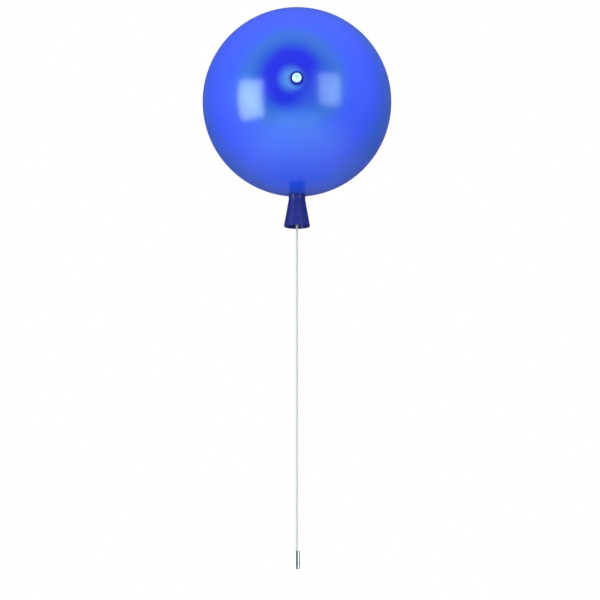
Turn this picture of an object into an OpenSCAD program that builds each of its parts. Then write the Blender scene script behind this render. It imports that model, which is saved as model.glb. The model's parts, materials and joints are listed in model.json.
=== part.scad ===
// Balloon-shaped wall lamp with a pull-cord switch.
// A blown acrylic globe stands on a pressed-steel pan on the wall. One screw in its front pole
// clamps it to a pillar that runs through it. The balloon's knot is a hollow flared cone under the
// globe. It holds a small pull switch, whose cord hangs down through the cone's mouth.
// Origin: centre of the two wall screw slots, on the wall. +Z is up, and the lamp faces -Y.

/* [Globe] */
// Outside diameter of the acrylic globe
globe_d = 250; // [246:1:254]
// Wall thickness of the globe
globe_wall = 2.5; // [2:0.1:3]
// Radius of the rim around the opening at the back of the globe
rim_r = 62; // [60:0.5:64]
// Diameter of the hole for the front screw
pole_hole_d = 6.8; // [6.6:0.1:7.2]

/* [Base pan] */
// Outside diameter of the pan on the wall
pan_d = 140; // [136:1:150]
// Depth of the pan from the wall to its face
pan_depth = 24; // [24:1:26]
// Sheet thickness of the pan and its collar
sheet = 1.2; // [1:0.1:1.4]
// Outside radius of the collar that centres the globe
collar_r = 56; // [55.5:0.1:56.2]
// Height of the collar above the pan's face
collar_h = 6; // [4:0.5:8]
// Thickness of the soft ring under the globe's rim
gasket_t = 1; // [0.8:0.1:1.2]

/* [Wall bracket] */
// Length of the steel strap
strap_len = 110; // [106:1:116]
// Width of the strap
strap_w = 25; // [22:1:25]
// Thickness of the strap
strap_t = 2; // [1.5:0.1:2.5]
// Height of the strap's raised middle above the wall
strap_rise = 12; // [11:0.5:13]
// Distance between the two wall screw slots
slot_spacing = 92; // [90:1:94]
// Width of a slot
slot_w = 5; // [4.5:0.1:5.5]
// Length of a slot, end to end
slot_len = 12; // [9:0.5:12]

/* [Pillar and front screw] */
// Diameter of the pillar through the globe
pillar_d = 10; // [9:0.5:11]
// Diameter of the front screw's head
head_d = 12; // [11:0.5:13]
// Height of the front screw's head
head_h = 3.8; // [3:0.1:4.6]
// Diameter of the dark washer under the head
cup_d = 17.6; // [16:0.1:19]
// Thickness of the dark washer
cup_t = 2; // [1.6:0.1:2.4]
// Diameter of the pale washer inside the globe
spreader_d = 36; // [30:1:40]

/* [Lampholder and bulb] */
// Height of the lampholder's axis above the pillar's axis
holder_up = 34; // [32:0.5:36]
// Outside diameter of the lampholder
holder_d = 28; // [26:0.5:30]
// Length of the lampholder in front of the pan
holder_len = 50; // [48:1:52]
// Diameter of the bulb's round diffuser
bulb_d = 45; // [43:0.5:47]

/* [Knot] */
// Diameter of the knot's neck and of its plug inside the globe
neck_d = 22; // [21.5:0.1:22.5]
// Diameter of the knot's mouth
mouth_d = 34; // [32:0.5:36]
// Height of the mouth's edge below the globe's bottom
knot_drop = 42.7; // [42:0.1:50]
// Height of the plug above the globe's bottom
plug_rise = 16.5; // [16:0.1:17]
// Diameter of the bore that holds the switch
bore_d = 18; // [18:0.1:18.4]

/* [Pull switch] */
// Outside diameter of the switch case
case_d = 17.8; // [17.6:0.1:17.8]
// Length of the switch case
case_len = 30; // [30:0.5:31]
// Diameter of the thin cord inside the switch
thin_cord_d = 1; // [0.8:0.1:1]

/* [Pull cord] */
// Diameter of the hanging cord
cord_d = 3; // [2.4:0.1:3]
// Diameter of the metal weight on the cord
pull_d = 7.5; // [7:0.1:9]
// Length of the metal weight
pull_len = 23; // [20:1:26]

/* [Hidden] */
$fn = 96;
clear = 0.05;          // running clearance round a screw or a pin
gap = 0.3;             // gap between curved faces of different bodies
screw_d = 6;           // the stud and the front screw, an M6 thread
drum_r = 3.2;          // radius of the drum at the middle of its thin cord, which sets how far a pull turns it

globe_r = globe_d / 2;
inner_r = globe_r - globe_wall;
globe_depth = pan_depth + gasket_t + sqrt(globe_r * globe_r - rim_r * rim_r);
pole_depth = globe_depth + globe_r;
inner_pole = globe_depth + inner_r;
stud_r = screw_d / 2;
spreader_t = 3.2;      // thickness of the pale washer at its middle
pan_washer_t = 1.6;
pillar_end = inner_pole - spreader_t;
bridge = 30;           // half length of the strap's raised middle
foot = 38;             // where the strap's feet begin

grommet_x = -9;        // the grommet is below the terminal block's first pole
grommet_up = -44;
block_up = -29;        // height of the terminal block
block_w = 30;
block_h = 16;
block_t = 13;
pole_pitch = 9;
lead_depth = 16;       // depth of the wires in the terminal block
earth_x = 28;
earth_up = -28;

holder_r = holder_d / 2;
holder_split = 18;     // length of the holder's cap
sleeve_depth = pan_depth + 26;
bulb_start = sleeve_depth + 4;
base_len = 17;         // length of the bulb's screw base
bulb_pitch = 2.8;      // pitch of the bulb's screw thread
board_back = 15;       // distance of the circuit board behind the diffuser's centre
diffuser_depth = bulb_start + base_len + 36;
board_depth = diffuser_depth - board_back;
bulb_front_r = sqrt(pow(bulb_d / 2, 2) - pow(board_back, 2));

neck_r = neck_d / 2;
mouth_r = mouth_d / 2;
south = -globe_r;
mouth_z = south - knot_drop;
plug_z = south + plug_rise;
groove_low = south + 0.1;
groove_high = south + 3.2;
bore_top = plug_z - 2.7;
bore_end = bore_top - 32;
case_r = case_d / 2;
case_wall = 1.2;
case_top = bore_top - 1.8;
case_bottom = case_top - case_len;
drum_z = case_top - 14;
drum_y = -globe_depth + drum_r;
swivel_z = case_bottom - 6.5;
swivel_r = 2;
connector_top = 2.3;
connector_low = -8;
connector_r = 3.2;
socket_r = swivel_r + gap;
pull_top = -589.5;
pull_bore = 6;         // length of the narrow bore at the weight's top

// Routes: points in millimetres, [x, y, z]. y is minus the distance from the wall.
// The pull cord hangs straight down from the connector to the knot inside its weight.
cord_route = [
    [0, -133.5, -154.5], [0, -133.5, -160], [0, -133.5, -170], [0, -133.5, -190], [0, -133.5, -210],
    [0, -133.5, -230], [0, -133.5, -250], [0, -133.5, -270], [0, -133.5, -290], [0, -133.5, -310],
    [0, -133.5, -330], [0, -133.5, -350], [0, -133.5, -370], [0, -133.5, -390], [0, -133.5, -410],
    [0, -133.5, -430], [0, -133.5, -450], [0, -133.5, -470], [0, -133.5, -490], [0, -133.5, -510],
    [0, -133.5, -530], [0, -133.5, -550], [0, -133.5, -570], [0, -133.5, -583.5], [0, -133.5, -596.5]];
// The lampholder's lead runs back through the nipple and down to the terminal block.
holder_route = [
    [0, -37.8, 34], [0, -30, 34], [0, -22, 34], [0, -16.5, 34], [1.5, -14, 32], [5, -13.5, 28],
    [9, -14.5, 21], [11, -16, 13], [12, -17, 4], [12, -17, -6], [11, -16.5, -13], [9, -16, -18],
    [9, -16, -20.9]];
// The switch lead leaves the block downwards, turns through the grommet and crosses the globe.
switch_route = [
    [-9, -16, -37.1], [-9, -16.5, -40], [-9, -18.5, -43], [-9, -22, -44], [-9, -28, -44],
    [-8.5, -38, -45], [-7.5, -50, -49], [-6, -64, -56], [-4, -80, -66], [-2.5, -96, -77],
    [-1, -111, -88], [0, -122, -96], [0, -130, -101.5], [0, -133, -106], [0, -133.5, -110],
    [0, -133.5, -113]];
// The earth lead bows over the terminal block to the ring terminal.
earth_route = [
    [0, -16, -20.9], [0, -17, -18], [4, -19, -15.5], [12, -20.6, -14], [20, -21, -12.5],
    [26, -21.3, -12.5], [28, -21.3, -14.5], [28, -21.3, -17.4]];

// ---- helpers -------------------------------------------------------------------------------

// Stands its children on the wall at x and height up, with their +Z pointing out of the wall.
module out(x = 0, up = 0, depth = 0) {
    translate([x, -depth, up]) rotate([90, 0, 0]) children();
}

// Moves its children onto the vertical line through the globe's centre.
module under_globe(z = 0) {
    translate([0, -globe_depth, z]) children();
}

// Puts its children on the switch drum's axis, with their +Z along +X.
module on_drum(x = 0) {
    translate([x, drum_y, drum_z]) rotate([90, 0, 90]) children();
}

module ring(outer, inner, height) {
    difference() {
        cylinder(r = outer, h = height);
        translate([0, 0, -1]) cylinder(r = inner, h = height + 2);
    }
}

module hex_nut(flats, bore, height) {
    difference() {
        cylinder(d = flats / cos(30), h = height, $fn = 6);
        translate([0, 0, -1]) cylinder(r = bore, h = height + 2);
    }
}

// A slot along X, cut along Z.
module slot(length, width, height) {
    reach = (length - width) / 2;
    for (side = [-1, 1]) translate([side * reach, 0, 0]) cylinder(d = width, h = height);
    translate([-reach, -width / 2, 0]) cube([2 * reach, width, height]);
}

function arc(cx, cy, r, from, to, steps = 8) =
    [for (i = [0 : steps]) let (a = from + (to - from) * i / steps) [cx + r * cos(a), cy + r * sin(a)]];

// A rounded screw thread as a wave of radius between low and high.
function thread(low, high, z0, z1, pitch, steps = 6) =
    let (count = floor((z1 - z0) / pitch) * steps)
    [for (i = [0 : count]) [(low + high) / 2 - (high - low) / 2 * cos(360 * i / steps),
                            z0 + (z1 - z0) * i / count]];

// Points on a sphere round the globe's centre, seen from the pillar's axis as [radius, depth].
function dome(sphere_r, from, to, steps = 8) =
    [for (i = [0 : steps]) let (r = from + (to - from) * i / steps)
        [r, globe_depth + sqrt(sphere_r * sphere_r - r * r)]];

function unit(v) = v / norm(v);

function route_step(route, i) =
    unit(route[min(i + 1, len(route) - 1)] - route[max(i - 1, 0)]);

// One closed tube swept along a route. side is any direction across the whole route.
module tube(route, d, side = [1, 0, 0], sides = 8) {
    rings = len(route);
    points = [
        for (i = [0 : rings - 1])
            let (along = route_step(route, i), u = unit(cross(along, side)), v = cross(along, u))
                for (k = [0 : sides - 1])
                    route[i] + d / 2 * (cos(360 * k / sides) * u + sin(360 * k / sides) * v)];
    walls = [
        for (i = [0 : rings - 2], k = [0 : sides - 1])
            let (a = i * sides + k, b = i * sides + (k + 1) % sides)
                [a, b, b + sides, a + sides]];
    first = [for (k = [0 : sides - 1]) sides - 1 - k];
    last = [for (k = [0 : sides - 1]) (rings - 1) * sides + k];
    polyhedron(points, concat(walls, [first, last]));
}

// Adds points between a route's points on a smooth curve through them.
function between(route, i, t) =
    let (a = route[max(i - 1, 0)], b = route[i], c = route[i + 1], d = route[min(i + 2, len(route) - 1)])
    0.5 * (2 * b + (c - a) * t + (2 * a - 5 * b + 4 * c - d) * t * t
        + (3 * b - a - 3 * c + d) * t * t * t);
function smooth(route, cuts = 2) =
    concat([for (i = [0 : len(route) - 2], k = [0 : cuts - 1]) between(route, i, k / cuts)],
           [route[len(route) - 1]]);

// ---- on the wall ----------------------------------------------------------------------------

// Steel strap with flat feet and a raised middle.
module wall_bracket() {
    half = strap_len / 2;
    slope = strap_t * 0.35;
    profile = [
        [-half, 0], [-foot, 0], [-bridge, strap_t - strap_rise], [bridge, strap_t - strap_rise],
        [foot, 0], [half, 0], [half, -strap_t], [foot + slope, -strap_t],
        [bridge + slope, -strap_rise], [-bridge - slope, -strap_rise],
        [-foot - slope, -strap_t], [-half, -strap_t]];
    color("silver") difference() {
        translate([0, 0, -strap_w / 2]) linear_extrude(strap_w) polygon(profile);
        out(depth = -1) cylinder(r = stud_r + 0.2, h = strap_rise + 2);
        for (side = [-1, 1]) out(x = side * slot_spacing / 2, depth = -1)
            slot(slot_len, slot_w, strap_t + 2);
    }
}

// Nut welded to the back of the strap's middle.
module bracket_nut() {
    height = 5;
    color("silver") out(depth = strap_rise - strap_t - height) hex_nut(10, stud_r + clear, height);
}

// Headless screw that joins the pillar to the bracket's nut.
module pillar_stud() {
    color("silver") out(depth = 4) cylinder(r = stud_r, h = 42);
}

// Pressed-steel dish with a rounded edge and a collar for the globe.
module base_pan() {
    r = pan_d / 2;
    bend = 6;
    top = pan_depth;
    profile = concat(
        [[r, 0]],
        arc(r - bend, top - bend, bend, 0, 90),
        [[collar_r, top], [collar_r, top + collar_h], [collar_r - sheet, top + collar_h],
         [collar_r - sheet, top], [0, top], [0, top - sheet]],
        arc(r - bend, top - bend, bend - sheet, 90, 0),
        [[r - sheet, 0]]);
    color("whitesmoke") difference() {
        out() rotate_extrude() polygon(profile);
        out() cylinder(r = stud_r + 0.2, h = pan_depth + 2);
        out(up = holder_up) cylinder(r = 5.2, h = pan_depth + 2);
        out(x = grommet_x, up = grommet_up) cylinder(r = 4, h = pan_depth + 2);
        out(x = earth_x, up = earth_up) cylinder(r = 2.1, h = pan_depth + 2);
        out(x = pole_pitch / 2, up = block_up) cylinder(r = 1.6, h = pan_depth + 2);
    }
}

// Soft ring between the pan and the globe's rim.
module rim_gasket() {
    color("gainsboro") out(depth = pan_depth) ring(rim_r + 0.5, collar_r + 1, gasket_t);
}

module pan_washer() {
    color("silver") out(depth = pan_depth) ring(7.5, stud_r + 0.2, pan_washer_t);
}

// Rubber bush that protects the switch lead in the pan's hole.
module cable_grommet() {
    back = pan_depth - sheet;
    profile = [
        [2.3, back - 1.8], [5.2, back - 1.8], [5.6, back - 1.2], [5.6, back], [3.9, back],
        [3.9, pan_depth], [5.6, pan_depth], [5.6, pan_depth + 1.2], [4.8, pan_depth + 2],
        [2.3, pan_depth + 2]];
    color("dimgray") out(x = grommet_x, up = grommet_up) rotate_extrude() polygon(profile);
}

// ---- wiring ---------------------------------------------------------------------------------

block_back = pan_depth - sheet - block_t;
pole_x = [-pole_pitch, 0, pole_pitch];
pole_screw_up = [block_up - 4, block_up + 4];

// Three-way terminal block on the inside of the pan.
module terminal_block() {
    color("white") difference() {
        translate([-block_w / 2, -pan_depth + sheet, block_up - block_h / 2])
            cube([block_w, block_t, block_h]);
        for (x = pole_x) {
            translate([x, -lead_depth, block_up - block_h]) cylinder(r = 2.6, h = 2 * block_h);
            for (up = pole_screw_up) out(x, up, block_back - 1) cylinder(r = 1.9, h = 5);
        }
        out(pole_pitch / 2, block_up, block_back - 1) cylinder(r = 1.6, h = block_t + 2);
        for (x = [-1, 1] * pole_pitch / 2) for (side = [-1, 1])
            translate([x - 0.6, -pan_depth - 1, block_up + side * block_h / 2 - 3])
                cube([1.2, block_t + 2, 6]);
    }
}

// Brass tubes that join the wires inside the block.
module terminal_sleeves() {
    color("gold") for (x = pole_x)
        translate([x, -lead_depth, block_up - 7]) ring(2.55, 1.6, 14);
}

module terminal_screws() {
    color("silver") for (x = pole_x) for (up = pole_screw_up)
        out(x, up, block_back + 0.3) difference() {
            cylinder(r = 1.7, h = lead_depth - 2.6 - block_back - 0.3);
            translate([-2, -0.25, -1]) cube([4, 0.5, 1.6]);
        }
}

// Screw that fixes the block to the pan.
module block_screw() {
    color("silver") out(pole_pitch / 2, block_up, block_back - 2) {
        difference() {
            cylinder(r = 2.8, h = 2);
            translate([-3, -0.35, -1]) cube([6, 0.7, 1.8]);
        }
        cylinder(r = 1.5, h = block_t + sheet + 4);
    }
}

// Ring terminal with a crimped barrel, for the earth lead.
module earth_lug() {
    thick = 0.8;
    back = pan_depth - sheet - thick;
    color("gold") {
        out(earth_x, earth_up, back) ring(4.4, 2.1, thick);
        translate([earth_x - 1.5, -back - thick, earth_up + 4]) cube([3, thick, 4]);
        translate([earth_x, -back + 0.7, earth_up + 6.4]) cylinder(r = 1.5, h = 4);
    }
}

module earth_screw() {
    lug_back = pan_depth - sheet - 0.8;
    color("limegreen") out(earth_x, earth_up, lug_back - 2.8) {
        difference() {
            cylinder(r = 3.6, h = 2.8);
            for (turn = [0, 90]) rotate(turn) translate([-2.2, -0.4, -1]) cube([4.4, 0.8, 2.6]);
        }
        cylinder(r = 2, h = 8);
    }
}

module earth_lead() {
    color("yellowgreen") tube(smooth(earth_route), 2, [0, 1, 0.2]);
}

module holder_lead() {
    color("whitesmoke") tube(smooth(holder_route), 3, [1, 0, 0.1]);
}

module switch_lead() {
    color("whitesmoke") tube(smooth(switch_route), 4);
}

// ---- pillar, globe and front screw ------------------------------------------------------------

// Round steel pillar, bored at both ends for the stud and the front screw.
module centre_pillar() {
    start = pan_depth + pan_washer_t;
    length = pillar_end - start;
    color("silver") out(depth = start) difference() {
        cylinder(d = pillar_d, h = length);
        translate([0, 0, -1]) cylinder(r = stud_r + clear, h = 23);
        translate([0, 0, length - 19]) cylinder(r = stud_r + clear, h = 20);
        for (side = [-1, 1]) translate([side * pillar_d * 0.9 - pillar_d / 2, -pillar_d, 6])
            cube([pillar_d, 2 * pillar_d, 8]);
    }
}

// Pale washer that spreads the screw's load over the inside of the globe.
module spreader_washer() {
    r = spreader_d / 2;
    hole = stud_r + 0.3;
    profile = concat([[hole, pillar_end], [r, pillar_end]], dome(inner_r - 0.03, r, hole));
    color("white") out() rotate_extrude() polygon(profile);
}

// Blown acrylic globe: open at the back, with a screw hole in its front pole and the knot's hole
// in its lowest point.
module globe() {
    color([0.2, 0.38, 0.95, 0.6]) difference() {
        out(depth = globe_depth) sphere(r = globe_r);
        out(depth = globe_depth) sphere(r = inner_r);
        out(depth = pan_depth + gasket_t - 40) cylinder(r = rim_r + 10, h = 40);
        out(depth = pole_depth - 8) cylinder(d = pole_hole_d, h = 16);
        under_globe(south - 8) cylinder(r = neck_r - 0.8, h = 16);
    }
}

// Dark washer, hollowed to sit on the globe, with a rounded front edge.
module cup_washer() {
    r = cup_d / 2;
    hole = stud_r + 0.3;
    soft = 0.8;
    front = pole_depth + cup_t;
    profile = concat(
        dome(globe_r + 0.03, hole, r),
        arc(r - soft, front - soft, soft, 0, 90, 6),
        [[hole, front]]);
    color("midnightblue") out() rotate_extrude() polygon(profile);
}

// Domed screw with a cross recess. Its back face lies on the cup washer.
module globe_screw() {
    r = head_d / 2;
    flat = 1.4;
    bulge = (r * r + pow(head_h - flat, 2)) / (2 * (head_h - flat));
    reach = asin(r / bulge);
    profile = concat(
        [[0, 0], [r, 0], [r, flat]],
        arc(0, head_h - bulge, bulge, 90 - reach, 90, 10));
    shank = 22;
    color("gainsboro") out(depth = pole_depth + cup_t) {
        difference() {
            rotate_extrude() polygon(profile);
            for (turn = [45, 135]) rotate(turn) translate([-2.6, -0.55, head_h - 1.9])
                cube([5.2, 1.1, 3]);
        }
        translate([0, 0, -shank]) cylinder(r = stud_r, h = shank + 0.5);
    }
}

// ---- lampholder -------------------------------------------------------------------------------

// Threaded tube that carries the lampholder and its lead through the pan.
module holder_nipple() {
    color("gold") out(up = holder_up, depth = pan_depth - 7) ring(4.95, 3.5, 17);
}

module nipple_nut() {
    height = 3;
    color("gold") out(up = holder_up, depth = pan_depth - sheet - height) hex_nut(14, 5, height);
}

// Back half of the lampholder, screwed on the nipple.
module holder_cap() {
    wall = 1.6;
    profile = concat(
        [[5, 0], [9, 0]],
        arc(holder_r - 4, 5, 4, -60, 0, 5),
        [[holder_r, holder_split], [holder_r - wall, holder_split], [holder_r - wall, 6],
         [8.5, 2.4], [5, 2.4]]);
    color("white") out(up = holder_up, depth = pan_depth) rotate_extrude() polygon(profile);
}

// Front half of the lampholder, with an inward lip.
module holder_skirt() {
    wall = 1.8;
    length = holder_len - holder_split;
    profile = concat(
        [[holder_r, 0]],
        arc(holder_r - 2, length - 2, 2, 0, 90, 5),
        [[holder_r - 4, length], [holder_r - 4, length - wall], [holder_r - wall, length - wall],
         [holder_r - wall, 0]]);
    color("white") out(up = holder_up, depth = pan_depth + holder_split)
        rotate_extrude() polygon(profile);
}

// Ceramic insert that carries the contacts.
module contact_block() {
    color("ivory") out(up = holder_up, depth = pan_depth + 14) difference() {
        cylinder(r = holder_r - 2.1, h = sleeve_depth - pan_depth - 15);
        for (side = [-1, 1]) translate([side * 7.5, 0, -1]) cylinder(r = 1.6, h = 8);
        translate([0, 0, 7]) cylinder(r = 4.5, h = 10);
    }
}

// Threaded brass sleeve that takes the bulb.
module thread_sleeve() {
    inside = thread(7.15, 7.45, 0, 16, bulb_pitch);
    last = len(inside) - 1;
    profile = concat(
        [[9.6, -1], [9.6, 0]],
        thread(7.5, 8, 0, 16, bulb_pitch),
        [[8.6, 16], [8.6, 16.5], [7.2, 16.5]],
        [for (i = [last : -1 : 0]) inside[i]],
        [[7.2, -1]]);
    color("gold") out(up = holder_up, depth = sleeve_depth) rotate_extrude() polygon(profile);
}

// Springy tongue that meets the tip of the bulb.
module centre_contact() {
    color("gold") translate([-1.5, -sleeve_depth - 1, holder_up]) {
        translate([0, 0, -1.5]) cube([3, 0.4, 3]);
        translate([0, 0, -1.5]) cube([3, 6, 0.4]);
    }
}

// ---- bulb -------------------------------------------------------------------------------------

// Nickel-plated screw base of the bulb.
module bulb_base() {
    profile = concat(
        [[4.2, -1.2], [5.6, -1.2]],
        thread(6.35, 6.9, 0, 14, bulb_pitch),
        [[7.4, 14.6], [8.2, base_len], [7.4, base_len], [6.6, 14.6], [5.7, 14], [5.7, 0], [4.2, -0.6]]);
    color("silver") out(up = holder_up, depth = bulb_start) rotate_extrude() polygon(profile);
}

// Dark glass ring between the screw base and the tip.
module bulb_insulator() {
    profile = [[1.8, -2.4], [3, -2.4], [4.15, -1.25], [4.15, -0.4], [1.8, -0.4]];
    color("dimgray") out(up = holder_up, depth = bulb_start) rotate_extrude() polygon(profile);
}

module bulb_tip() {
    profile = concat([[0, -0.5], [1.75, -0.5], [1.75, -2.3]], arc(0, -1.25, 1.6, -41, -90, 4));
    color("silver") out(up = holder_up, depth = bulb_start) rotate_extrude() polygon(profile);
}

// Plastic body between the screw base and the diffuser.
module bulb_body() {
    start = bulb_start + base_len;
    length = board_depth - start;
    profile = [
        [7.2, 0], [9, 0], [9.6, 2], [bulb_front_r - 1.5, length * 0.8], [bulb_front_r, length],
        [bulb_front_r - 1.6, length], [bulb_front_r - 3, length * 0.8], [8, 2], [7.2, 1.5]];
    color("white") out(up = holder_up, depth = start) rotate_extrude() polygon(profile);
}

// Round circuit board inside the bulb.
module led_board() {
    color("lightgray") out(up = holder_up, depth = board_depth - 1.8)
        cylinder(r = bulb_front_r - 2.6, h = 1.2);
}

// Light chips on the board.
module led_chips() {
    count = 8;
    color("khaki") out(up = holder_up, depth = board_depth - 0.6) for (i = [0 : count - 1])
        rotate(360 * i / count) translate([8.6, -1.4, 0]) cube([2.8, 2.8, 0.8]);
}

// Opal round front of the bulb.
module bulb_diffuser() {
    r = bulb_d / 2;
    color("white") out(up = holder_up) difference() {
        translate([0, 0, diffuser_depth]) sphere(r = r);
        translate([0, 0, diffuser_depth]) sphere(r = r - 1.2);
        translate([0, 0, board_depth - 2 * r]) cylinder(r = 2 * r, h = 2 * r);
    }
}

// ---- knot and switch ----------------------------------------------------------------------------

// The balloon's knot: a hollow cone whose grooved plug snaps into the globe.
module knot_cone() {
    profile = concat(
        [[mouth_r - 1.9, mouth_z]],
        arc(mouth_r - 1, mouth_z + 1.4, 1.2, -100, -5, 6),
        [[neck_r, south - 7], [neck_r, groove_low], [neck_r - 1, groove_low],
         [neck_r - 1, groove_high], [neck_r, groove_high]],
        arc(neck_r - 4, plug_z - 4, 4, 0, 90, 8),
        [[2.3, plug_z], [2.3, bore_top], [bore_d / 2, bore_top], [bore_d / 2, bore_end]]);
    color("midnightblue") under_globe() rotate_extrude() polygon(profile);
}

// Cup-shaped case of the pull switch.
module switch_case() {
    inner = case_r - case_wall;
    color("white") difference() {
        under_globe(case_bottom) cylinder(r = case_r, h = case_len);
        under_globe(case_bottom + case_wall) cylinder(r = inner, h = case_len);
        under_globe(case_bottom - 1) cylinder(r = 2, h = 4);
        on_drum(-20) cylinder(r = 0.85, h = 40);
    }
}

// Lid of the switch, with a hole for the lead.
module switch_lid() {
    color("white") under_globe(case_top) difference() {
        union() {
            cylinder(r = case_r, h = 1.5);
            translate([0, 0, -2]) cylinder(r = case_r - case_wall - 0.1, h = 2.5);
        }
        translate([0, 0, -3]) cylinder(r = 2.1, h = 8);
    }
}

// Metal eyelet that guides the thin cord out of the case.
module cord_eyelet() {
    profile = [
        [1.1, 2.2], [2.6, 2.2], [2.6, 1.3], [1.9, 1.3], [1.9, 0], [3.2, 0], [3.2, -0.4], [2.6, -0.8],
        [1.5, -0.8], [1.1, -0.4]];
    color("silver") under_globe(case_bottom) rotate_extrude() polygon(profile);
}

module drum_pin() {
    color("silver") on_drum(-7.9) cylinder(r = 0.8, h = 15.8);
}

// Spool that the thin cord winds on.
module cord_drum() {
    flange = drum_r + 0.5;
    groove = drum_r - thin_cord_d / 2 - gap;
    profile = [
        [0.85, 0], [flange, 0], [flange, 0.5], [groove, 0.5], [groove, 3.7], [flange, 3.7],
        [flange, 4.2], [0.85, 4.2]];
    color("orange") on_drum(-1.4) rotate_extrude() polygon(profile);
}

// The turn of thin cord that stays on the drum.
module wound_cord() {
    color("lightgray") on_drum(1.5) rotate_extrude()
        translate([drum_r - 0.25, 0]) circle(d = thin_cord_d, $fn = 24);
}

// Flat spiral spring that winds the drum back.
module drum_spring() {
    turns = 3;
    steps = 54;
    inside = 1.3;
    outside = 2.8;
    strip = 0.22;
    edge = function (shift) [
        for (i = [0 : steps])
            let (a = 360 * turns * i / steps, r = inside + (outside - inside) * i / steps + shift)
                [r * cos(a), r * sin(a)]];
    outer = edge(strip);
    inner = edge(0);
    color("steelblue") on_drum(-4.2)
        linear_extrude(2.2) polygon(concat(outer, [for (i = [steps : -1 : 0]) inner[i]]));
}

// Ratchet-toothed rotor that opens and closes the contacts.
module contact_rotor() {
    teeth = 8;
    tip = 2.9;
    root = 2.3;
    outline = [for (i = [0 : teeth - 1]) for (p = [[0, tip], [0.9, root]])
        p[1] * [cos(360 * (i + p[0]) / teeth), sin(360 * (i + p[0]) / teeth)]];
    color("tomato") on_drum(3.1) difference() {
        linear_extrude(1.4) polygon(outline);
        translate([0, 0, -1]) cylinder(r = 0.85, h = 4);
    }
}

// Brass strips that rest against the rotor's face.
module contact_blades() {
    color("gold") for (y = [0.6, 4.2])
        translate([4.8, -globe_depth + y, drum_z - 1]) cube([0.3, 1.2, 12]);
}

module switch_terminals() {
    color("gold") for (y = [0.5, 3.6])
        translate([1.8, -globe_depth + y, case_top - 7]) difference() {
            cube([2.9, 1.9, 4.5]);
            translate([1.4, 0.95, 1.5]) cylinder(r = 0.6, h = 4);
        }
}

// Thin cord from the drum through the eyelet.
module thin_cord() {
    top = drum_z + 6;
    bottom = swivel_z + swivel_r + gap;
    color("lightgray") under_globe(bottom) cylinder(d = thin_cord_d, h = top - bottom);
}

// Ball on the end of the thin cord.
module swivel_ball() {
    color("silver") under_globe(swivel_z) sphere(r = swivel_r);
}

// Bell-shaped connector: its socket holds the ball, and its bottom holds the hanging cord.
module cord_connector() {
    lip = 1.6;
    lip_angle = acos(lip / socket_r);
    profile = concat(
        [[cord_d / 2 + clear, connector_low], [connector_r - 0.6, connector_low],
         [connector_r, connector_low + 0.6], [connector_r, -0.5]],
        arc(connector_r - 0.6, connector_top - 0.6, 0.6, 0, 90, 4),
        [[2.3, connector_top]],
        arc(0, 0, socket_r, lip_angle, -90, 12),
        [[0, connector_low + 3.5], [cord_d / 2 + clear, connector_low + 3.5]]);
    color("lightgray") under_globe(swivel_z) rotate_extrude() polygon(profile);
}

// ---- pull cord ------------------------------------------------------------------------------------

module cord() {
    color("lightgray") tube(cord_route, cord_d);
}

// Knot that keeps the weight on the cord.
module cord_knot() {
    top = cord_route[len(cord_route) - 1][2];
    color("lightgray") under_globe(top - 3.6) rotate_extrude()
        polygon(concat([[0, 0]], arc(1, 1.8, 1.4, -70, 70, 8), [[0, 3.6]]));
}

// Metal weight: a tube with a narrow top that the cord passes through.
module pull_weight() {
    r = pull_d / 2;
    top = pull_top;
    bottom = pull_top - pull_len;
    narrow = cord_d / 2 + 0.1;
    profile = concat(
        [[r - 1.1, bottom], [r - 0.3, bottom], [r, bottom + 0.3]],
        arc(r - 0.8, top - 0.8, 0.8, 0, 90, 5),
        [[narrow, top], [narrow, top - pull_bore], [r - 1.1, top - pull_bore - 1]]);
    color("silver") under_globe() rotate_extrude() polygon(profile);
}

wall_bracket();
bracket_nut();
pillar_stud();
base_pan();
rim_gasket();
pan_washer();
cable_grommet();
terminal_block();
terminal_sleeves();
terminal_screws();
block_screw();
earth_lug();
earth_screw();
earth_lead();
holder_lead();
switch_lead();
centre_pillar();
spreader_washer();
globe();
cup_washer();
globe_screw();
holder_nipple();
nipple_nut();
holder_cap();
holder_skirt();
contact_block();
thread_sleeve();
centre_contact();
bulb_base();
bulb_insulator();
bulb_tip();
bulb_body();
led_board();
led_chips();
bulb_diffuser();
knot_cone();
switch_case();
switch_lid();
cord_eyelet();
drum_pin();
cord_drum();
wound_cord();
drum_spring();
contact_rotor();
contact_blades();
switch_terminals();
thin_cord();
swivel_ball();
cord_connector();
cord();
cord_knot();
pull_weight();
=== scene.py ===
"""Looks of the balloon-shaped wall lamp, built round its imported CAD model.

Everything is in metres in the CAD model's frame: +Z is up, the wall is the plane y = 0, and the lamp
faces -Y. The CAD nodes keep their shapes and get procedural materials. The pull cord, the knot in its
weight and the three leads are made again here, because the CAD model holds them as plain solids.
"""
import json
import math

import bmesh
import bpy
from mathutils import Matrix, Quaternion, Vector


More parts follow.
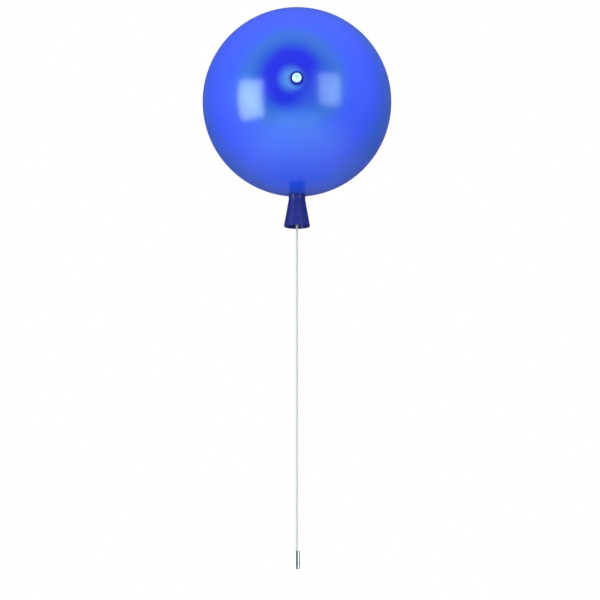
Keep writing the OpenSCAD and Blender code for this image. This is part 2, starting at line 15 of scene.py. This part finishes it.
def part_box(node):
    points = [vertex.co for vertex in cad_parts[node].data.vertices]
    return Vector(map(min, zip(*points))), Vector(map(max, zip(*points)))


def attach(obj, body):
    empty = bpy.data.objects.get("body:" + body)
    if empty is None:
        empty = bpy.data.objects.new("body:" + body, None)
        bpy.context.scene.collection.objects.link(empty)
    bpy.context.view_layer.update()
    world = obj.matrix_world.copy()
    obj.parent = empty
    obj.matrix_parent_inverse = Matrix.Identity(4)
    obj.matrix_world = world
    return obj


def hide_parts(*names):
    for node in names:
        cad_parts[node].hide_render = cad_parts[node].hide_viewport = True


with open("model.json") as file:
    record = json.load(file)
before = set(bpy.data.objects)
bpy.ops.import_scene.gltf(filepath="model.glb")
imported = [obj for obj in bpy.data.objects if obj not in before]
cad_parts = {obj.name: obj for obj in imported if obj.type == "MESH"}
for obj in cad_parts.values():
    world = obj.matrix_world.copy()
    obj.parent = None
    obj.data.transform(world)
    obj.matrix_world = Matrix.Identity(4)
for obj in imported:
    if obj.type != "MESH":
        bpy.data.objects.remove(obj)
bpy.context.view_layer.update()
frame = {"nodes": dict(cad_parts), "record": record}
NODES = frame["nodes"]
MM = 0.001

# ---- places taken from the CAD model ----------------------------------------------------------

globe_low, globe_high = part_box("globe")
GLOBE_R = (globe_high.x - globe_low.x) / 2
GLOBE = Vector((0, globe_low.y + GLOBE_R, globe_high.z - GLOBE_R))


# ---- camera ----------------------------------------------------------------------------------

LENS = 115.1                                        # millimetres, on a sensor 36 mm wide
CAMERA_FROM_GLOBE = Vector((0.004, -2.48, -0.62))
CAMERA_PITCH = math.radians(8.154)                  # above the horizon


def make_camera():
    data = bpy.data.cameras.new("camera")
    data.lens = LENS
    camera = bpy.data.objects.new("camera", data)
    camera.location = GLOBE + CAMERA_FROM_GLOBE
    camera.rotation_euler = (math.pi / 2 + CAMERA_PITCH, 0, 0)
    bpy.context.scene.collection.objects.link(camera)
    bpy.context.scene.camera = camera


make_camera()


# ---- cord and leads --------------------------------------------------------------------------

def sweep(name, points, radius_at, sides, closed=False):
    """A mesh tube through points in millimetres. radius_at(angle, distance) is its surface there."""
    line = [Vector(point) * MM for point in points]
    count = len(line)

    def heading(i):
        after = line[(i + 1) % count] if closed else line[min(i + 1, count - 1)]
        before = line[i - 1] if closed or i else line[0]
        return (after - before).normalized()

    along = [heading(i) for i in range(count)]
    across = [along[0].orthogonal().normalized()]
    for before, after in zip(along, along[1:]):
        across.append(before.rotation_difference(after) @ across[-1])
    twist = 0.0
    if closed:
        returned = along[-1].rotation_difference(along[0]) @ across[-1]
        twist = math.atan2(across[0].cross(returned).dot(along[0]), across[0].dot(returned))

    mesh = bmesh.new()
    rings = []
    distance = 0.0
    for i in range(count):
        distance += (line[i] - line[i - 1]).length / MM if i else 0.0
        side = Matrix.Rotation(-twist * i / count, 3, along[i]) @ across[i]
        up = along[i].cross(side)
        ring = []
        for k in range(sides):
            angle = 2 * math.pi * k / sides
            out = math.cos(angle) * side + math.sin(angle) * up
            ring.append(mesh.verts.new(line[i] + out * radius_at(angle, distance) * MM))
        rings.append(ring)
    joined = list(zip(rings, rings[1:])) + ([(rings[-1], rings[0])] if closed else [])
    for low, high in joined:
        for k in range(sides):
            n = (k + 1) % sides
            mesh.faces.new((low[k], low[n], high[n], high[k])).smooth = True
    if not closed:
        mesh.faces.new(rings[0][::-1])
        mesh.faces.new(rings[-1])
    data = bpy.data.meshes.new(name)
    mesh.to_mesh(data)
    mesh.free()
    piece = bpy.data.objects.new(name, data)
    bpy.context.scene.collection.objects.link(piece)
    return piece


def woven(diameter, relief, bumps, pitch):
    """The surface of a braid: a lattice of plump diamonds round the cord."""
    def radius_at(angle, distance):
        lattice = math.pi * distance / pitch
        one = abs(math.cos(bumps * angle / 2 + lattice))
        other = abs(math.cos(bumps * angle / 2 - lattice))
        return diameter / 2 - relief * (1 - math.sqrt(one * other))
    return radius_at


def spaced(points, step):
    """Points a step apart along straight lines between points."""
    line = []
    for a, b in zip(points, points[1:]):
        cuts = max(1, round(math.dist(a, b) / step))
        line += [tuple(p + (q - p) * i / cuts for p, q in zip(a, b)) for i in range(cuts)]
    return line + [points[-1]]


def curved(points, cuts):
    """A smooth curve through points, as the CAD model draws its leads."""
    line = []
    for i in range(len(points) - 1):
        a, b, c, d = (Vector(points[min(max(j, 0), len(points) - 1)]) for j in (i - 1, i, i + 1, i + 2))
        for t in (k / cuts for k in range(cuts)):
            line.append(0.5 * (2 * b + (c - a) * t + (2 * a - 5 * b + 4 * c - d) * t * t
                               + (3 * b - a - 3 * c + d) * t * t * t))
    return line + [Vector(points[-1])]


# The pull cord's route in the CAD model, in millimetres: straight down from the connector.
CORD_D = 3
CORD_Y = -133.5
CORD_HEIGHTS = [-154.5, -160, -170] + list(range(-190, -571, -20)) + [-583.5, -596.5]
CORD_STEP = 0.4                                     # between the rings of the mesh
CORD_SIDES = 40
BRAID_RELIEF = 0.16                                 # depth of the grooves between the strands
BRAID_BUMPS = 8                                     # diamonds round the cord
BRAID_PITCH = 2.4                                   # length of one diamond

cord_route = [(0, CORD_Y, z) for z in CORD_HEIGHTS]
cord_surface = woven(CORD_D, BRAID_RELIEF, BRAID_BUMPS, BRAID_PITCH)
pull_cord = sweep("pull_cord", spaced(cord_route, CORD_STEP), cord_surface, CORD_SIDES)
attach(pull_cord, "hanging_cord")
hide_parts("cord")


def knot_points(centre, radius, height, count):
    """An overhand knot drawn tight: a flattened trefoil round the cord's line."""
    points = []
    for i in range(count):
        a = 2 * math.pi * i / count
        swell = (2 + math.cos(3 * a)) / 3
        points.append((centre.x + radius * swell * math.cos(2 * a),
                       centre.y + radius * swell * math.sin(2 * a),
                       centre.z + height * math.sin(3 * a)))
    return points


KNOT_R = 1.45
KNOT_HEIGHT = 0.85
KNOT_RINGS = 120
KNOT_SIDES = 24
knot_low, knot_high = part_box("cord_knot")
knot_line = knot_points((knot_low + knot_high) / 2 / MM, KNOT_R, KNOT_HEIGHT, KNOT_RINGS)
knot_surface = woven(diameter=1.7, relief=0.12, bumps=6, pitch=0.8)
knot = sweep("cord_end_knot", knot_line, knot_surface, KNOT_SIDES, closed=True)
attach(knot, "hanging_cord")
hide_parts("cord_knot")

# The leads inside the lamp, on the CAD model's routes, as round tubes: diameter, slot and route.
LEADS = {
    "earth_lead": (2, "earth_insulation", [
        (0, -16, -20.9), (0, -17, -18), (4, -19, -15.5), (12, -20.6, -14), (20, -21, -12.5),
        (26, -21.3, -12.5), (28, -21.3, -14.5), (28, -21.3, -17.4)]),
    "holder_lead": (3, "lead_sheath", [
        (0, -37.8, 34), (0, -30, 34), (0, -22, 34), (0, -16.5, 34), (1.5, -14, 32), (5, -13.5, 28),
        (9, -14.5, 21), (11, -16, 13), (12, -17, 4), (12, -17, -6), (11, -16.5, -13), (9, -16, -18),
        (9, -16, -20.9)]),
    "switch_lead": (4, "lead_sheath", [
        (-9, -16, -37.1), (-9, -16.5, -40), (-9, -18.5, -43), (-9, -22, -44), (-9, -28, -44),
        (-8.5, -38, -45), (-7.5, -50, -49), (-6, -64, -56), (-4, -80, -66), (-2.5, -96, -77),
        (-1, -111, -88), (0, -122, -96), (0, -130, -101.5), (0, -133, -106), (0, -133.5, -110),
        (0, -133.5, -113)]),
}
LEAD_CUTS = 8                                       # rings between two points of a route
LEAD_SIDES = 20


def round_tube(diameter):
    """The plain surface of a round lead, in sweep's terms."""
    return lambda angle, distance: diameter / 2


leads = {}
for lead_name, (diameter, slot_name, lead_route) in LEADS.items():
    lead = sweep("round_" + lead_name, curved(lead_route, LEAD_CUTS), round_tube(diameter), LEAD_SIDES)
    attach(lead, "lamp")
    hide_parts(lead_name)
    leads[lead] = slot_name


# ---- materials -------------------------------------------------------------------------------

class Look:
    """A material on one Principled shader, with its patterns in the CAD model's frame in millimetres.

    constants are sockets of the shader with one value all over, such as coat_weight=0.5.
    """

    def __init__(self, name, roughness, **constants):
        self.material = bpy.data.materials.new(name)
        self.material.use_nodes = True
        self.tree = self.material.node_tree
        self.shader = self.tree.nodes["Principled BSDF"]
        self.shader.inputs["Roughness"].default_value = roughness
        for socket, value in constants.items():
            self.shader.inputs[socket.replace("_", " ").title().replace("Ior", "IOR")].default_value = value

    def feed(self, socket, value):
        if isinstance(value, bpy.types.NodeSocket):
            self.tree.links.new(value, socket)
        else:
            socket.default_value = value

    def add(self, kind, settings, inputs):
        node = self.tree.nodes.new("ShaderNode" + kind)
        for name, value in settings.items():
            setattr(node, name, value)
        for name, value in inputs.items():
            self.feed(node.inputs[name], value)
        return node

    def math(self, operation, a, b=0.0):
        return self.add("Math", {"operation": operation}, {0: a, 1: b}).outputs[0]

    def hypotenuse(self, a, b):
        squares = [self.math("MULTIPLY", side, side) for side in (a, b)]
        return self.math("SQRT", self.math("ADD", *squares))

    def place(self, stretch=(1, 1, 1)):
        """Object coordinates in millimetres, stretched along an axis to draw a pattern out."""
        coords = self.tree.nodes.new("ShaderNodeTexCoord").outputs["Object"]
        scale = [1 / MM / s for s in stretch]
        return self.add("VectorMath", {"operation": "MULTIPLY"}, {0: coords, 1: scale}).outputs[0]

    def axes(self):
        parts = self.add("SeparateXYZ", {}, {0: self.place()})
        return parts.outputs[0], parts.outputs[1], parts.outputs[2]

    def noise(self, size, stretch=(1, 1, 1), detail=3.0):
        return self.add("TexNoise", {}, {"Vector": self.place(stretch), "Scale": 1 / size,
                                         "Detail": detail}).outputs[0]

    def cells(self, size, output="Distance", feature="F1"):
        return self.add("TexVoronoi", {"feature": feature},
                        {"Vector": self.place(), "Scale": 1 / size}).outputs[output]

    def spread(self, value, low, high, start=0.3, end=0.7, smooth=False):
        """Value from start to end, spread out from low to high. The defaults are a noise's usual reach."""
        kind = "SMOOTHSTEP" if smooth else "LINEAR"
        return self.add("MapRange", {"interpolation_type": kind},
                        {"Value": value, "From Min": start, "From Max": end,
                         "To Min": low, "To Max": high}).outputs[0]

    def ramp(self, value, stops):
        node = self.add("ValToRGB", {}, {0: value})
        ramp = node.color_ramp
        while len(ramp.elements) < len(stops):
            ramp.elements.new(1)
        for element, (position, colour) in zip(ramp.elements, stops):
            element.position = position
            element.color = (*colour, 1)
        return node.outputs[0]

    def mix(self, share, a, b):
        node = self.add("Mix", {"data_type": "RGBA"}, {0: share})
        self.feed(node.inputs[6], a if isinstance(a, bpy.types.NodeSocket) else (*a, 1))
        self.feed(node.inputs[7], b if isinstance(b, bpy.types.NodeSocket) else (*b, 1))
        return node.outputs[2]

    def colour(self, value):
        self.feed(self.shader.inputs["Base Color"], value)

    def mottle(self, dark, light, size):
        self.colour(self.mix(self.spread(self.noise(size), 0, 1), dark, light))

    def rough(self, low, high, size, stretch=(1, 1, 1)):
        self.feed(self.shader.inputs["Roughness"], self.spread(self.noise(size, stretch), low, high))

    def bump(self, height, depth):
        """Height runs from 0 to 1, over depth in millimetres."""
        bump = self.add("Bump", {}, {"Height": height, "Distance": depth * MM})
        self.feed(self.shader.inputs["Normal"], bump.outputs[0])


def shade(colour, factor):
    return tuple(min(1.0, c * factor) for c in colour)


def plastic(name, colour, roughness, grain=0.35, depth=0.02, **constants):
    """A moulded surface with a fine grain, its size and depth in millimetres."""
    look = Look(name, roughness, **constants)
    look.mottle(shade(colour, 0.93), shade(colour, 1.05), 9)
    look.rough(roughness - 0.05, roughness + 0.08, 3)
    look.bump(look.noise(grain), depth)
    return look.material


def metal(name, colour, roughness, brushed=(1, 1, 1), depth=0.01):
    """Bare or plated metal with fine marks, drawn out along the axes where brushed is over 1."""
    look = Look(name, roughness, metallic=1.0)
    look.mottle(shade(colour, 0.86), shade(colour, 1.06), 5)
    look.rough(roughness * 0.7, roughness * 1.5, 1.2, brushed)
    look.bump(look.noise(0.6, brushed, 5.0), depth)
    return look.material


def zinc(name, pitch=None):
    """Bright zinc plate. A pitch adds a screw thread round the Y axis."""
    look = Look(name, 0.45, metallic=1.0)
    spangle = look.cells(2.6, "Color")
    grey = look.add("RGBToBW", {}, {0: spangle}).outputs[0]
    look.colour(look.mix(look.spread(grey, 0, 1, 0, 1), (0.60, 0.62, 0.66), (0.84, 0.84, 0.82)))
    look.rough(0.36, 0.56, 1.5)
    height = look.noise(0.5)
    if pitch:
        x, y, z = look.axes()
        turn = look.math("ARCTAN2", z, x)
        wave = look.math("ADD", look.math("MULTIPLY", y, 2 * math.pi / pitch), turn)
        height = look.spread(look.math("SINE", wave), 0, 1, -1, 1)
    look.bump(height, 0.3 if pitch else 0.015)
    return look.material


def powder_coat():
    look = Look("powder_coat", 0.4, coat_weight=0.25, coat_roughness=0.2)
    look.mottle((0.56, 0.56, 0.55), (0.62, 0.62, 0.61), 14)
    look.rough(0.34, 0.46, 4)
    look.bump(look.noise(0.9, detail=2.0), 0.05)
    return look.material


def foam():
    look = Look("gasket_foam", 0.85)
    pores_and_shade = look.spread(look.cells(0.7), 0, 1, 0, 0.6)
    # The pores are darker in colour: painted shade in the hollows, over their bump.
    look.colour(look.ramp(pores_and_shade, [(0.0, (0.30, 0.30, 0.29)), (0.45, (0.62, 0.62, 0.60)),
                                  (1.0, (0.70, 0.70, 0.68))]))
    look.bump(pores_and_shade, 0.25)
    return look.material


def striped_insulation():
    """Green and yellow in lengthwise halves."""
    look = Look("earth_insulation", 0.4)
    normal = look.tree.nodes.new("ShaderNodeTexCoord").outputs["Normal"]
    side = look.add("SeparateXYZ", {}, {0: normal}).outputs[2]
    look.colour(look.ramp(look.spread(side, 0, 1, -1, 1),
                          [(0.0, (0.05, 0.30, 0.05)), (0.48, (0.06, 0.34, 0.05)),
                           (0.54, (0.72, 0.62, 0.03)), (1.0, (0.80, 0.70, 0.05))]))
    look.rough(0.35, 0.5, 2)
    look.bump(look.noise(0.5), 0.02)
    return look.material


def circuit_board():
    look = Look("circuit_board", 0.3)
    tracks = look.cells(5.5, "Distance", "DISTANCE_TO_EDGE")
    look.colour(look.ramp(tracks, [(0.0, (0.38, 0.40, 0.38)), (0.05, (0.42, 0.44, 0.42)),
                                   (0.08, (0.76, 0.77, 0.76)), (1.0, (0.82, 0.83, 0.82))]))
    look.bump(look.spread(tracks, 0, 1, 0.04, 0.09), 0.05)
    return look.material


def light_chip():
    look = Look("light_chip", 0.25, coat_weight=0.6)
    look.mottle((0.75, 0.50, 0.05), (0.85, 0.66, 0.14), 0.7)
    look.rough(0.2, 0.4, 0.5)
    look.bump(look.noise(0.3), 0.05)
    return look.material


def opal():
    look = Look("opal_plastic", 0.38, subsurface_weight=0.7, subsurface_scale=0.004)
    look.mottle((0.84, 0.84, 0.81), (0.92, 0.92, 0.89), 12)
    look.rough(0.32, 0.46, 2)
    look.bump(look.noise(0.4), 0.01)
    return look.material


def braid(name, centre=None):
    """Grey polyester with painted shade in the grooves between its strands. centre is a vertical cord's (x,
    y).
    """
    look = Look(name, 0.75, sheen_weight=0.3)
    fluff = look.noise(0.25, (1, 1, 3))
    if centre:
        x, y = look.axes()[:2]
        radius = look.hypotenuse(look.math("SUBTRACT", x, centre[0]), look.math("SUBTRACT", y, centre[1]))
        groove_shade = look.spread(radius, 0, 1, CORD_D / 2 - BRAID_RELIEF, CORD_D / 2)
    else:
        groove_shade = look.math("SUBTRACT", 1.0, look.cells(0.75))
    height = look.math("ADD", look.math("MULTIPLY", groove_shade, 0.8), look.math("MULTIPLY", fluff, 0.2))
    # The colour darkens into the grooves: painted shade.
    look.colour(look.ramp(height, [(0.0, (0.15, 0.15, 0.15)), (0.4, (0.27, 0.27, 0.27)),
                                   (1.0, (0.37, 0.37, 0.37))]))
    look.bump(fluff, 0.08)
    return look.material


def acrylic():
    """Blown acrylic: translucent blue under a hard gloss, with uneven rings of painted shade and painted
    reflection round the front pole.
    """
    look = Look("blue_acrylic", 0.36, transmission_weight=0.68, ior=1.49, specular_ior_level=0.15,
                specular_tint=(0.12, 0.45, 1.0, 1.0), coat_weight=0.25, coat_roughness=0.18, coat_ior=3.5)
    x, y, z = look.axes()

    globe_r = GLOBE_R / MM
    wander = look.math("MULTIPLY", look.math("SUBTRACT", look.noise(45, detail=1.0), 0.5), 8)

    def distance_from(right, up):
        """Distance from a point beside the pole, made a little uneven."""
        away = look.hypotenuse(look.math("SUBTRACT", x, right), look.math("SUBTRACT", z, up))
        return look.math("ADD", away, wander)

    # A deep blue disc of painted shade and a lighter ring of painted reflection round the pole, by their
    # share of the globe's radius.
    radius = look.math("DIVIDE", distance_from(-6, 2), globe_r)
    # Further out the front is a brighter blue of painted light, fading to the sides' blue at the rim.
    pole_painted_light = look.ramp(radius, [
        (0.25, (0.004, 0.010, 0.72)),
        (0.29, (0.008, 0.028, 0.71)),
        (0.37, (0.020, 0.13, 0.66)),
        (0.47, (0.046, 0.20, 0.69)),
        (0.60, (0.060, 0.15, 0.95)),
        (0.75, (0.068, 0.15, 1.00)),
        (0.84, (0.052, 0.14, 1.00)),
        (0.98, (0.036, 0.15, 0.76)),
        (1.00, (0.036, 0.15, 0.75))])
    # Painted light: the disc is paler at its right, and a pale painted highlight lies round the screw.
    to_right = look.math("ADD", look.math("MULTIPLY", x, 0.85), look.math("MULTIPLY", z, -0.53))
    painted_light_right = look.spread(to_right, 0, 0.8, 2, 34, smooth=True)
    painted_light_right = look.math("MULTIPLY", painted_light_right, look.spread(radius, 1, 0, 0.3, 0.45, smooth=True))
    pole_painted_light = look.mix(painted_light_right, pole_painted_light, (0.030, 0.13, 0.69))
    screw_highlight_mask = look.spread(distance_from(-8, -1), 1, 0, 7, 22, smooth=True)
    pole_painted_light = look.mix(screw_highlight_mask, pole_painted_light, (0.085, 0.28, 0.76))
    # A pale lobe of painted reflection below the disc, brighter blue towards the bottom.
    depth = look.math("DIVIDE", z, -globe_r)
    lobe_reflection_colour = look.ramp(depth, [
        (0.45, (0.090, 0.26, 0.93)),
        (0.70, (0.080, 0.20, 1.00)),
        (0.90, (0.014, 0.12, 1.00))])
    middle = look.spread(look.math("ABSOLUTE", x), 1, 0, 20, 85, smooth=True)
    reflection_lobe_mask = look.math("MULTIPLY", middle, look.spread(depth, 0, 1, 0.30, 0.60, smooth=True))
    pole_painted_light = look.mix(reflection_lobe_mask, pole_painted_light, lobe_reflection_colour)
    # The sides and the back are one even blue.
    rest = look.mix(look.spread(look.noise(70, detail=1.0), 0, 1), (0.034, 0.13, 0.76), (0.046, 0.16, 0.86))
    front = look.spread(y, 1, 0, -globe_r - 60, -globe_r, smooth=True)
    look.colour(look.mix(front, rest, pole_painted_light))
    look.bump(look.noise(60, detail=1.0), 0.25)
    return look.material


def navy():
    look = Look("navy_plastic", 0.36, specular_ior_level=0.35)
    look.mottle((0.003, 0.007, 0.105), (0.005, 0.010, 0.14), 8)
    look.rough(0.32, 0.42, 2)
    look.bump(look.noise(0.35), 0.012)
    return look.material


BRASS = (0.72, 0.50, 0.20)
WHITE = (0.62, 0.62, 0.60)
STEEL = (0.62, 0.63, 0.65)
LOOKS = {
    "zinc_steel": zinc("zinc_steel"),
    "white_paint": powder_coat(),
    "gasket_foam": foam(),
    "dark_rubber": plastic("dark_rubber", (0.022, 0.022, 0.024), 0.65, 0.3, 0.03),
    "terminal_plastic": plastic("terminal_plastic", (0.74, 0.74, 0.70), 0.42, subsurface_weight=0.2,
                                subsurface_scale=0.002),
    "brass": metal("brass", BRASS, 0.28),
    "earth_green": metal("earth_green", (0.10, 0.36, 0.08), 0.34),
    "earth_insulation": striped_insulation(),
    "lead_sheath": plastic("lead_sheath", (0.70, 0.70, 0.68), 0.5, 0.5, 0.03),
    "pillar_steel": metal("pillar_steel", STEEL, 0.26, (12, 1, 12), 0.008),
    "white_nylon": plastic("white_nylon", WHITE, 0.4),
    "blue_acrylic": acrylic(),
    "cup_rubber": plastic("cup_rubber", (0.001, 0.003, 0.20), 0.45, 0.3, 0.02, specular_ior_level=0.2),
    "chrome": metal("chrome", (0.84, 0.85, 0.86), 0.08, (1, 1, 6), 0.001),
    "holder_plastic": plastic("holder_plastic", (0.80, 0.80, 0.78), 0.28, coat_weight=0.2),
    "ceramic": plastic("ceramic", (0.72, 0.66, 0.55), 0.22, 0.8, 0.03, coat_weight=0.5),
    "nickel": metal("nickel", (0.66, 0.63, 0.58), 0.2),
    "black_glass": plastic("black_glass", (0.010, 0.010, 0.018), 0.12, 0.8, 0.02, coat_weight=0.5),
    "circuit_board": circuit_board(),
    "led_phosphor": light_chip(),
    "opal_plastic": opal(),
    "navy_plastic": navy(),
    "cord_braid": braid("small_braid"),
    "spring_steel": metal("spring_steel", (0.16, 0.22, 0.34), 0.25, (8, 1, 1)),
    "red_nylon": plastic("red_nylon", (0.52, 0.03, 0.02), 0.38),
    "connector_plastic": plastic("connector_plastic", (0.52, 0.52, 0.54), 0.25, coat_weight=0.4),
}

for part in frame["record"]["subparts"]:
    slots = NODES[part["node"]].data.materials
    for i in range(len(slots)):
        slots[i] = LOOKS[part["material_slot"]]

NODES["pillar_stud"].data.materials[0] = zinc("threaded_zinc", pitch=1.0)
# The screw head's pale cyan base colour is a painted highlight on its plated dome.
NODES["globe_screw"].data.materials[0] = plastic("plated_screw_painted_highlight", (0.55, 0.88, 0.95), 0.3, depth=0.004,
                                                 metallic=0.5, coat_weight=0.5)
pull_cord.data.materials.append(braid("cord_braid", (0, CORD_Y)))
knot.data.materials.append(LOOKS["cord_braid"])
for lead, slot_name in leads.items():
    lead.data.materials.append(LOOKS[slot_name])


# ---- floor, lights and surroundings ----------------------------------------------------------

FLOOR_Z = -1.05
FLOOR_SIZE = 40.0
LIGHT_COLOUR = (0.80, 1.0, 1.0)
STRIPS = (  # name, azimuth, width and radiance
    ("left_strip", -115, 2.2, 1.2),
    ("right_strip", 60, 1.3, 2.0),
    ("back_strip", 180, 1.8, 0.9),
)
STRIP_ELEVATION = -15
STRIP_DISTANCE = 2.2
STRIP_HEIGHT = 1.6
BACKDROP_SIDE = 0.72                                # what the camera sees beside the lamp; 1 is behind it
FILL_FRONT, FILL_BACK = 2.25, 0.9                   # the even light on the lamp
ROOM_FRONT, ROOM_BACK, ROOM_TOP, ROOM_LOW = 0.06, 0.14, 0.10, 0.26      # what its gloss mirrors


def make_floor():
    bpy.ops.mesh.primitive_plane_add(size=FLOOR_SIZE, location=(0, 0, FLOOR_Z))
    floor = bpy.context.object
    floor.name = "floor"
    look = Look("floor_paint", 0.7)
    look.mottle((0.50, 0.50, 0.50), (0.52, 0.52, 0.52), 60)
    floor.data.materials.append(look.material)
    floor.visible_glossy = False


def soft_box(name, azimuth, elevation, distance, width, height, radiance,
             roll=0, spread=180, glossy=True):
    """A soft box facing the globe. Azimuth 0 is in front of the lamp and 90 is at its right, in degrees.

    A box that isn't glossy lights the lamp without showing in its gloss.
    """
    a, e = math.radians(azimuth), math.radians(elevation)
    toward = Vector((math.sin(a) * math.cos(e), -math.cos(a) * math.cos(e), math.sin(e)))
    data = bpy.data.lights.new(name, "AREA")
    data.shape = "RECTANGLE"
    data.size, data.size_y = width, height
    data.energy = radiance * math.pi * width * height
    data.color = LIGHT_COLOUR
    data.spread = math.radians(spread)
    light = bpy.data.objects.new(name, data)
    light.location = GLOBE + toward * distance
    facing = toward.to_track_quat("Z", "Y") @ Quaternion((0, 0, 1), math.radians(roll))
    light.rotation_euler = facing.to_euler()
    light.visible_camera = False
    light.visible_glossy = glossy
    bpy.context.scene.collection.objects.link(light)
    return light


def make_world():
    """Plain white to the camera, a soft even light for the lamp, and a dim room in its reflections."""
    world = bpy.data.worlds.new("studio")
    world.use_nodes = True
    tree = world.node_tree

    def node(kind, settings, inputs):
        made = tree.nodes.new("ShaderNode" + kind)
        for name, value in settings.items():
            setattr(made, name, value)
        for name, value in inputs.items():
            if isinstance(value, bpy.types.NodeSocket):
                tree.links.new(value, made.inputs[name])
            else:
                made.inputs[name].default_value = value
        return made.outputs

    rays = node("LightPath", {}, {})
    direction = node("SeparateXYZ", {}, {0: node("TexCoord", {}, {})["Generated"]})
    back = node("MapRange", {}, {"Value": direction[1], "From Min": -0.2, "From Max": 0.8,
                                 "To Min": ROOM_FRONT, "To Max": ROOM_BACK})[0]
    top = node("MapRange", {}, {"Value": direction[2], "From Min": 0.5, "From Max": 1.0,
                                "To Min": 0.0, "To Max": ROOM_TOP})[0]
    low = node("MapRange", {}, {"Value": direction[2], "From Min": -0.2, "From Max": -0.8,
                                "To Min": 0.0, "To Max": ROOM_LOW})[0]
    walls = node("Math", {"operation": "ADD"}, {0: back, 1: top})[0]
    room = node("Math", {"operation": "ADD"}, {0: walls, 1: low})[0]
    mirrored = node("Math", {"operation": "SUBTRACT", "use_clamp": True},
                    {0: rays["Is Glossy Ray"], 1: rays["Is Transmission Ray"]})[0]
    fill = node("MapRange", {}, {"Value": direction[1], "From Min": -0.8, "From Max": 0.8,
                                 "To Min": FILL_FRONT, "To Max": FILL_BACK})[0]
    lit = node("Mix", {}, {0: mirrored, 2: fill, 3: room})[0]
    backdrop = node("MapRange", {"interpolation_type": "SMOOTHSTEP"},
                    {"Value": direction[1], "From Min": 0.5, "From Max": 0.9, "To Min": BACKDROP_SIDE,
                     "To Max": 1.0})[0]
    seen = node("Mix", {}, {0: rays["Is Camera Ray"], 2: lit, 3: backdrop})[0]
    background = tree.nodes["Background"]
    tree.links.new(seen, background.inputs["Strength"])
    background.inputs["Color"].default_value = (1, 1, 1, 1)
    bpy.context.scene.world = world


make_floor()
make_world()

# The two boxes that the shell mirrors, and three that only light it.
soft_box("left_box", azimuth=-57, elevation=-4.5, distance=1.8, width=1.05, height=1.3, radiance=1.45,
         roll=-5, spread=100)
soft_box("right_box", azimuth=38.5, elevation=3.5, distance=1.8, width=0.84, height=1.15, radiance=0.8,
         roll=2, spread=100)
soft_box("low_box", azimuth=0, elevation=-28, distance=1.6, width=1.6, height=0.45, radiance=6.6,
         glossy=False)
soft_box("top_box", azimuth=0, elevation=65, distance=1.8, width=1.5, height=1.2, radiance=0.6,
         glossy=False)
soft_box("back_box", azimuth=160, elevation=45, distance=2.6, width=2.6, height=2.6, radiance=0.6,
         glossy=False)

# Three strips of light that only the bright metal takes, so that it mirrors a lit room.
bright_metal = bpy.data.collections.new("bright_metal")
for node_name in ("pull_weight", "wall_bracket"):
    bright_metal.objects.link(NODES[node_name])
for strip_name, azimuth, width, radiance in STRIPS:
    strip = soft_box(strip_name, azimuth, STRIP_ELEVATION, STRIP_DISTANCE, width, STRIP_HEIGHT, radiance)
    strip.light_linking.receiver_collection = bright_metal
bpy.context.scene.view_settings.view_transform = "Standard"
